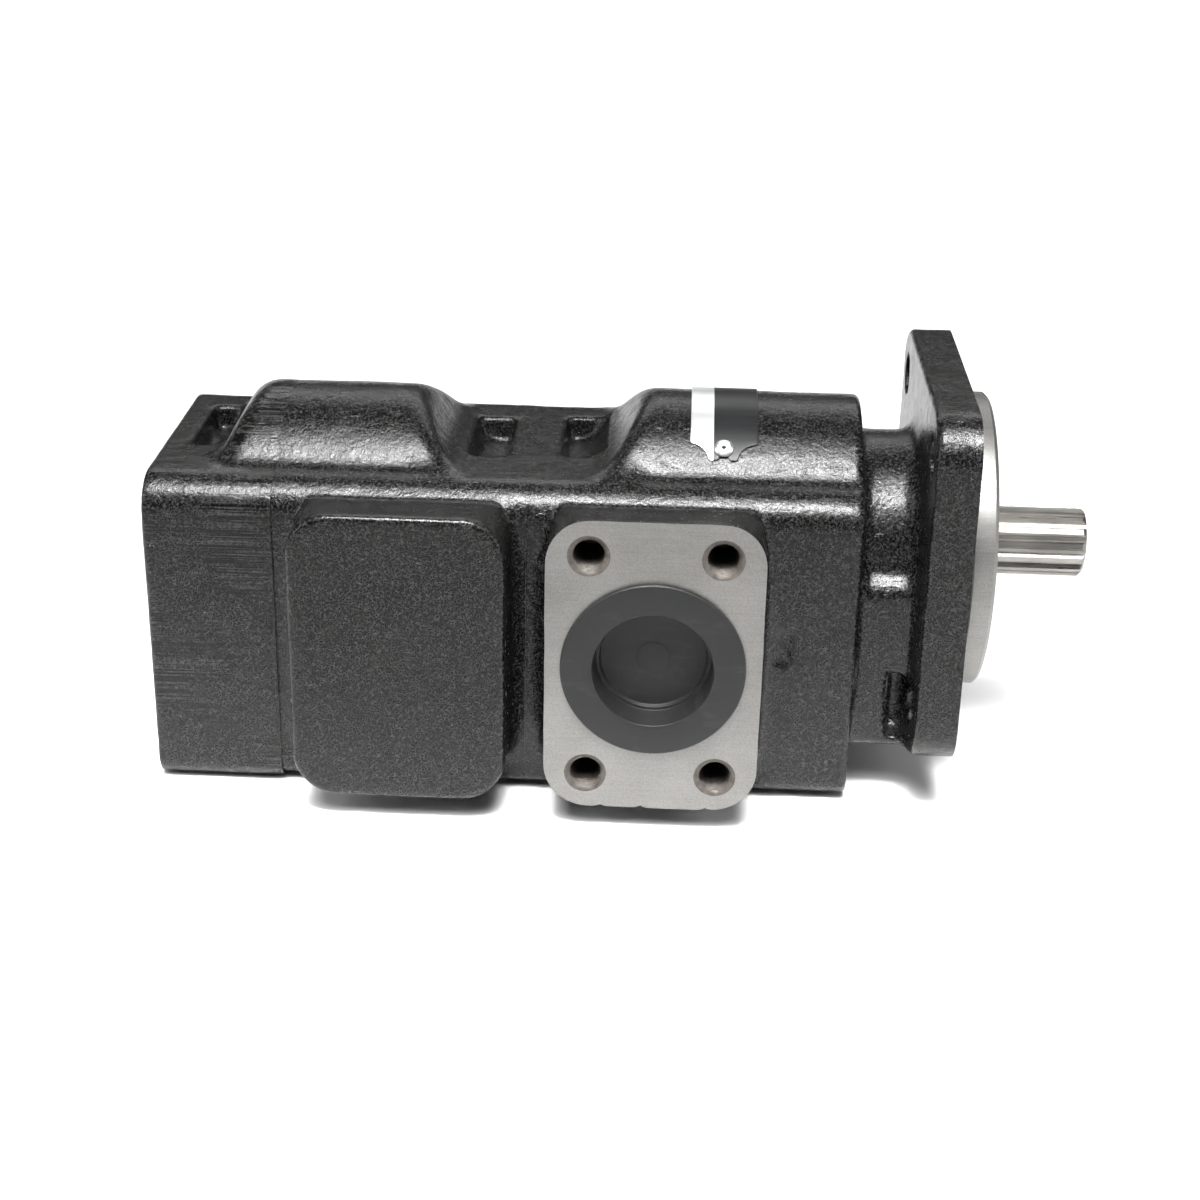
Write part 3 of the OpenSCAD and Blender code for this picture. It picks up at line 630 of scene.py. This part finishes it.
def zincLook(p):
    patches = noise(p, 320, 4, 0.4)
    return {
        "Base Color": mixed(remap(patches, 0.35, 0.65), (0.34, 0.34, 0.34, 1), (0.46, 0.46, 0.45, 1)),
        "Roughness": remap(patches, 0.3, 0.7, 0.26, 0.42),
        "Normal": bumped(patches, 0.00001),
    }


paint = makeMaterial("blackPaint", blackPaint, Specular_IOR_Level=0.25)
groundPaint = makeMaterial("groundPaint", lambda p: blackPaint(p, 1.0), Specular_IOR_Level=0.25)
iron = makeMaterial("bareIron", bareIron, Metallic=0.85)
steel = makeMaterial("turnedSteel", turnedSteel, Metallic=1.0)
plastic = makeMaterial("plugPlastic", plugPlastic, Specular_IOR_Level=0.3)
silver = makeMaterial("silverSheet", silverSheet, Metallic=1.0)
rubber = makeMaterial("sealRubber", rubberLook)
bronze = makeMaterial("bushBronze", bronzeLook, Metallic=1.0)
alloy = makeMaterial("plateAlloy", alloyLook, Metallic=1.0)
zinc = makeMaterial("zincPlate", zincLook, Metallic=1.0)
print("finishes made")

slotFinishes = {
    "cast_iron_black": paint, "gear_steel": steel, "wear_plate_alloy": alloy, "seal_rubber": rubber,
    "bush_bronze": bronze, "fastener_steel": zinc, "nameplate_metal": silver, "plug_plastic": plastic,
}
for row in frame["record"]["subparts"]:
    node = frame["nodes"][row["node"]]
    node.data.materials.clear()
    node.data.materials.append(slotFinishes[row["material_slot"]])

coverRoom = (coverLow[0], -62, coverBottom), (1, 62, 62)      # past the flange on every side
makeCasting("frontCover", "front_cover", *coverRoom, coverSkin, coverHoles,
            [((coverLow[0], 0, 0), (-1, 0, 0)), ((0, 0, 0), (1, 0, 0))], paint)
makeCasting("frontHousing", "front_gear_housing", frontLow, frontHigh, frontSkin, frontHoles,
            [((frontLow[0], 0, 0), (-1, 0, 0)), ((frontHigh[0], 0, 0), (1, 0, 0)),
             ((0, frontLow[1], 0), (0, -1, 0)), ((0, frontHigh[1], 0), (0, 1, 0))], paint)
makeCasting("rearHousing", "rear_gear_housing", rearLow, rearHigh, rearSkin, rearHoles,
            [((rearLow[0], 0, 0), (-1, 0, 0)), ((rearHigh[0], 0, 0), (1, 0, 0)),
             ((0, rearHigh[1], 0), (0, 1, 0))], paint)
makeCasting("rearCover", "rear_cover", endLow, endHigh, endSkin, endHoles,
            [((endHigh[0], 0, 0), (1, 0, 0))], groundPaint, seed=41)


def roundedLine(points, steps=4):
    # Corner points (a, b, fillet radius) to a line with arcs
    line = []
    for i, (a, b, r) in enumerate(points):
        p = Vector((a, b))
        if not r:
            line.append(p)
            continue
        u = (Vector(points[i - 1][:2]) - p).normalized()
        v = (Vector(points[(i + 1) % len(points)][:2]) - p).normalized()
        half = u.angle(v) / 2
        centre = p + (u + v).normalized() * (r / math.sin(half))
        start, end = p + u * (r / math.tan(half)), p + v * (r / math.tan(half))
        for s in range(steps + 1):
            arm = (start - centre).lerp(end - centre, s / steps)
            line.append(centre + arm.normalized() * r)
    return line


def latheMesh(line, closed, steps):
    verts, faces, rings = [], [], []
    for r, h in line:
        if r < 1e-6:
            rings.append([len(verts)] * steps)
            verts.append((0, 0, h))
        else:
            rings.append(list(range(len(verts), len(verts) + steps)))
            angles = [2 * math.pi * k / steps for k in range(steps)]
            verts += [(r * math.cos(a), r * math.sin(a), h) for a in angles]
    following = rings[1:] + (rings[:1] if closed else [])
    for a, b in zip(rings, following):
        for k in range(steps):
            corners = [a[k], a[(k + 1) % steps], b[(k + 1) % steps], b[k]]
            faces.append(list(dict.fromkeys(corners)))
    return verts, faces


def turned(name, points, at, direction, material, closed=False, steps=128, angle=32):
    verts, faces = latheMesh(roundedLine(points), closed, steps)
    turn = Vector((0, 0, 1)).rotation_difference(Vector(direction)).to_matrix().to_4x4()
    matrix = Matrix.Translation(Vector(at) * mm) @ turn @ Matrix.Scale(mm, 4)
    verts = [matrix @ Vector(v) for v in verts]
    return fixFaces(makeObject(name, verts, faces, [material]), angle)


def fixFaces(made, angle):
    bm = bmesh.new()
    bm.from_mesh(made.data)
    bmesh.ops.recalc_face_normals(bm, faces=bm.faces)
    bm.to_mesh(made.data)
    bm.free()
    made.data.set_sharp_from_angle(angle=math.radians(angle))
    return made


def place(made, body, slot, *nodes):
    if nodes:
        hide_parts(*nodes)
    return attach(made, body)


pilot = {"r": mountSize("pilot", "r_mm"), "height": mountSize("pilot", "length_mm"), "bore": 21.0,
         "chamfer": 1.2}


def pilotPoints():
    r, height, bore, chamfer = pilot.values()
    return [
        (bore + 0.1, 0.02, 0), (r - 0.6, 0.02, 0), (r - 0.6, 1.4, 0.4), (r, 2.0, 0.3),
        (r, height - chamfer, 0.2), (r - chamfer, height, 0.2),
        (bore + 1.3, height, 0.2), (bore + 0.1, height - 1.4, 0.2)]


place(turned("pilotRing", pilotPoints(), (0, 0, 0), (1, 0, 0), iron, closed=True), "pump_body", "gear_steel")


def plugPoints(spec):
    rim, top, r, depth, cup, floor, floorDepth = spec.values()
    mark = floor * 0.28       # round mark in the middle of the cup's floor
    return [
        (0, -depth, 0), (r - 2.0, -depth, 1.0), (r - 0.4, -depth + 5, 0.4), (r, -depth + 6, 0.3),
        (r - 0.5, -depth + 7, 0.3), (r, 0.6, 0), (r + 0.4, 0.0, 0.2), (rim, 0.0, 0.3), (rim, top, 0.7),
        (cup, top, 0.35), (floor + 0.7, top - floorDepth + 1.2, 0.3),
        (floor - 0.4, top - floorDepth + 1.2, 0.3),
        (floor - 0.9, top - floorDepth, 0.4), (mark + 0.6, top - floorDepth, 0.3),
        (mark, top - floorDepth + 0.12, 0.3), (0, top - floorDepth + 0.12, 0)]


suctionPlug = {"rim": 30.2, "top": 1.6, "r": 25.1, "depth": 16, "cup": 19.8, "floor": 18.2, "floorDepth": 11}
outletPlug = {"rim": 16, "top": 1.6, "r": 12.4, "depth": 12, "cup": 9, "floor": 8, "floorDepth": 8.6}
place(turned("suctionPlug", plugPoints(suctionPlug), suctionAt + (0, -0.1, 0), (0, -1, 0), plastic),
      "suction_plug", "plug_plastic", "suction_port_plug")
for name in ("front", "rear"):
    at = outletsAt[name] + (0, 0.1, 0)
    made = turned(name + "OutletPlug", plugPoints(outletPlug), at, (0, 1, 0), plastic)
    place(made, name + "_outlet_cap", "plug_plastic", name + "_outlet_plug")


def threadSleeve(name, spots, face, side, spec):
    # Internal thread cut in a sleeve, with a countersink at its mouth
    steps, perTurn = 48, 6
    pitch, minor, major, outer, depth, sink = spec.values()
    count = int(depth / pitch * perTurn)
    verts, faces = [], []
    for sx, sz in spots:
        first = len(verts)
        for i in range(count + 1):
            h = depth * i / count
            for k in range(steps):
                phase = (h / pitch + k / steps) % 1
                wave = min(1, max(0, 1.25 * (1 - abs(2 * phase - 1)) - 0.12))
                r = max(minor + (major - minor) * wave, min(sink - h * 2, outer))
                a = 2 * math.pi * k / steps
                verts.append((sx + r * math.cos(a), face - side * (h + 0.04), sz + r * math.sin(a)))
        inner, step = outer - sleeveStep["in"], sleeveStep["depth"] - 0.03
        for ring, h in ((inner, depth), (inner, step), (outer, step), (outer, 0)):
            for k in range(steps):
                a = 2 * math.pi * k / steps
                y = face - side * (h + 0.04)
                verts.append((sx + ring * math.cos(a), y, sz + ring * math.sin(a)))
        rings = count + 5
        for i in range(rings):
            a, b = first + i * steps, first + (i + 1) % rings * steps
            faces += [(a + k, a + (k + 1) % steps, b + (k + 1) % steps, b + k) for k in range(steps)]
    made = makeObject(name, [Vector(v) * mm for v in verts], faces, [threadIron])
    return fixFaces(made, 50)


def threadLook(p):
    stain = remap(noise(p, 500, 3), 0.35, 0.65)
    return {
        # Both tones are far darker than the bare iron the threads are cut in: painted shade inside the tapped
        # holes
        "Base Color": mixed(stain, (0.045, 0.038, 0.032, 1), (0.08, 0.071, 0.062, 1)),
        "Roughness": remap(stain, 0.0, 1.0, 0.52, 0.64),
        "Normal": bumped(stain, 0.00002),
    }


threadIron = makeMaterial("threadIron", threadLook, Metallic=0.4)
threads = {
    "suction": {"pitch": 1.75, "minor": 5.1, "major": 6.05, "outer": 6.97, "depth": 24, "sink": 6.95},
    "front": {"pitch": 1.5, "minor": 4.25, "major": 5.05, "outer": 5.66, "depth": 16, "sink": 5.64},
}
threads["rear"] = threads["front"]
for name, hole in portHoles.items():
    place(threadSleeve(name + "PortThreads", hole["spots"], hole["face"], hole["side"], threads[name]),
          "pump_body", "gear_steel")
print("turned pieces made")


plate = {
    "x": (-92.0, -69.5), "split": -84.3, "tab": (-85.9, -76.0), "foot": 46.8, "curve": 6.6,
    "notch": (-80.8, 1.95), "sheet": 0.6, "step": 0.25,
    "screwX": -80.8, "screwAngle": 40.8,
}


def makeNameplate():
    # A flat plate with a tab at each end, then bent round the bulge
    r = bulges["front"]["r"]
    axisZ = bulges["front"]["top"] - r
    step, (x0, x1), (t0, t1) = plate["step"], plate["x"], plate["tab"]
    reach = math.radians(plate["foot"]) * r
    axes = [np.arange(a - 4 * step, b + 4 * step, step, dtype=np.float32)
            for a, b in ((x0, x1), (-reach, reach), (0, plate["sheet"]))]
    x, s, t = np.meshgrid(*axes, indexing="ij", sparse=True)
    s = np.abs(s)
    flat = roundRect(x, s, (x0, x1), (-reach, reach), 0.3)
    for centre in (t0 - plate["curve"], t1 + plate["curve"]):
        flat = carve(flat, np.hypot(x - centre, s - reach - 0.3) - plate["curve"], 1.2)
    notchX, notchR = plate["notch"]
    flat = carve(flat, np.hypot(x - notchX, s - reach - 0.2) - notchR, 0.8)
    d = extrude(flat, t, (0, plate["sheet"]), 0.12)
    grid = openvdb.FloatGrid(3.0)
    grid.copyFromArray(np.clip(d / step, -3, 3).astype(np.float32))
    points, quads = grid.convertToQuads(isovalue=0.0)
    x, s, t = (points * step + np.array([a[0] for a in axes])).T
    out = r + 0.12 + t
    bent = np.stack((x, out * np.sin(s / r), axisZ + out * np.cos(s / r)), axis=1)
    made = makeObject("nameplateStrip", (bent * mm).tolist(), quads.tolist(), [sheetPrint])
    return fixFaces(made, 40)


def printedSheet(p):
    # Bare on one side of a line along the plate, black enamel on the other
    across = p.node("ShaderNodeSeparateXYZ", {}, {0: p})
    dark = remap(across, plate["split"] * mm - 0.00005, plate["split"] * mm + 0.00005)
    brushed = noise(stretched(p, 60, 1200, 1200), 1, 3)
    tone = remap(brushed, 0.3, 0.7)
    return {
        "Base Color": mixed(dark, mixed(tone, (0.62, 0.63, 0.63, 1), (0.72, 0.73, 0.73, 1)),
                            mixed(tone, (0.005, 0.0053, 0.0056, 1), (0.009, 0.0094, 0.0098, 1))),
        "Metallic": remap(dark, 0.0, 1.0, 0.75, 0.0),
        "Roughness": remap(brushed, 0.3, 0.7, 0.3, 0.42),
        "Normal": bumped(brushed, 0.00001),
    }


sheetPrint = makeMaterial("printedSheet", printedSheet, Specular_IOR_Level=0.25)


def makePlateScrews():
    line = [(0, -6, 0), (1.2, -6, 0), (1.2, 0, 0), (3.2, 0, 0.1), (3.15, 0.6, 0.3),
            (2.2, 1.1, 1.0), (0.85, 1.2, 0.1), (0.75, -2.0, 0.1), (0, -2.1, 0)]
    r = bulges["front"]["r"]
    axisZ = bulges["front"]["top"] - r
    for side, word in ((-1, "Near"), (1, "Far")):
        a = math.radians(plate["screwAngle"]) * side
        out = Vector((0, math.sin(a), math.cos(a)))
        at = Vector((plate["screwX"], 0, axisZ)) + out * (r + plate["sheet"] + 0.12)
        made = turned("plateScrew" + word, line, at, out, silver, steps=48)
        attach(made, "pump_body")
        if side < 0:
            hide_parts("nameplate_screws")


place(makeNameplate(), "pump_body", "nameplate_metal", "nameplate")
makePlateScrews()
print("nameplate made")


camera = {
    "lens": 64.04, "place": (-0.09570, -0.69680, 0.27848),
    "yaw": -2.162, "pitch": 23.785, "roll": 1.120,
}


def makeCamera():
    yaw, pitch, roll = (math.radians(camera[k]) for k in ("yaw", "pitch", "roll"))
    ahead = Vector((math.sin(yaw) * math.cos(pitch), math.cos(yaw) * math.cos(pitch), -math.sin(pitch)))
    level = Vector((math.cos(yaw), -math.sin(yaw), 0))
    above = level.cross(ahead)
    right = math.cos(roll) * level + math.sin(roll) * above
    up = -math.sin(roll) * level + math.cos(roll) * above
    data = bpy.data.cameras.new("camera")
    data.lens = camera["lens"]
    data.sensor_width = 36
    made = bpy.data.objects.new("camera", data)
    matrix = Matrix((right, up, -ahead)).transposed().to_4x4()
    matrix.translation = camera["place"]
    made.matrix_world = matrix
    bpy.context.scene.collection.objects.link(made)
    bpy.context.scene.camera = made


def makeFloor():
    size, z = 6.0, endLow[2] * mm - 0.0002
    corners = [(-size, -size, z), (size, -size, z), (size, size, z), (-size, size, z)]
    made = makeObject("floor", corners, [(0, 1, 2, 3)], [makeMaterial("paleFloor", floorLook)])


def floorLook(p):
    return {"Base Color": (0.8, 0.8, 0.8, 1), "Roughness": 0.7}


sun = {"strength": 5.2, "disc": 40, "elevation": 67, "turn": -6}
boxes = {
    "nearFill": {"place": (-0.13, -0.30, 0.50), "size": (0.7, 0.12), "power": 1.0,
                 "aim": (-0.13, -0.06, -0.08), "spread": 28},
    "leftBox": {"place": (-1.4, -0.5, 0.7), "size": (0.5, 1.1), "power": 8, "aim": (-0.2, 0, 0)},
    "rightBox": {"place": (1.3, -0.4, 0.7), "size": (0.5, 1.1), "power": 8, "aim": (0, 0, 0)},
    "backBox": {"place": (-0.1, 1.3, 1.1), "size": (1.8, 0.5), "power": 8, "aim": (-0.13, 0, 0)},
}


def aimed(name, data, at, away):
    made = bpy.data.objects.new(name, data)
    made.location = at
    made.rotation_mode = "QUATERNION"
    made.rotation_quaternion = away.to_track_quat("Z", "Y")
    bpy.context.scene.collection.objects.link(made)


def makeLights():
    data = bpy.data.lights.new("softSun", "SUN")
    data.energy = sun["strength"]
    data.angle = math.radians(sun["disc"])
    up, turn = math.radians(sun["elevation"]), math.radians(sun["turn"])
    away = Vector((math.sin(turn) * math.cos(up), -math.cos(turn) * math.cos(up), math.sin(up)))
    aimed("softSun", data, (0, -1, 2), away)
    for name, spec in boxes.items():
        data = bpy.data.lights.new(name, "AREA")
        data.shape = "RECTANGLE"
        data.size, data.size_y = spec["size"]
        data.energy = spec["power"]
        data.spread = math.radians(spec.get("spread", 180))
        aimed(name, data, spec["place"], Vector(spec["place"]) - Vector(spec["aim"]))
    world = bpy.data.worlds.new("studio")
    bpy.context.scene.world = world
    world.use_nodes = True
    world.node_tree.nodes["Background"].inputs["Color"].default_value = (0.09, 0.09, 0.088, 1)


makeCamera()
makeFloor()
makeLights()
bpy.context.scene.view_settings.view_transform = "Standard"
print("camera, floor and lights made")
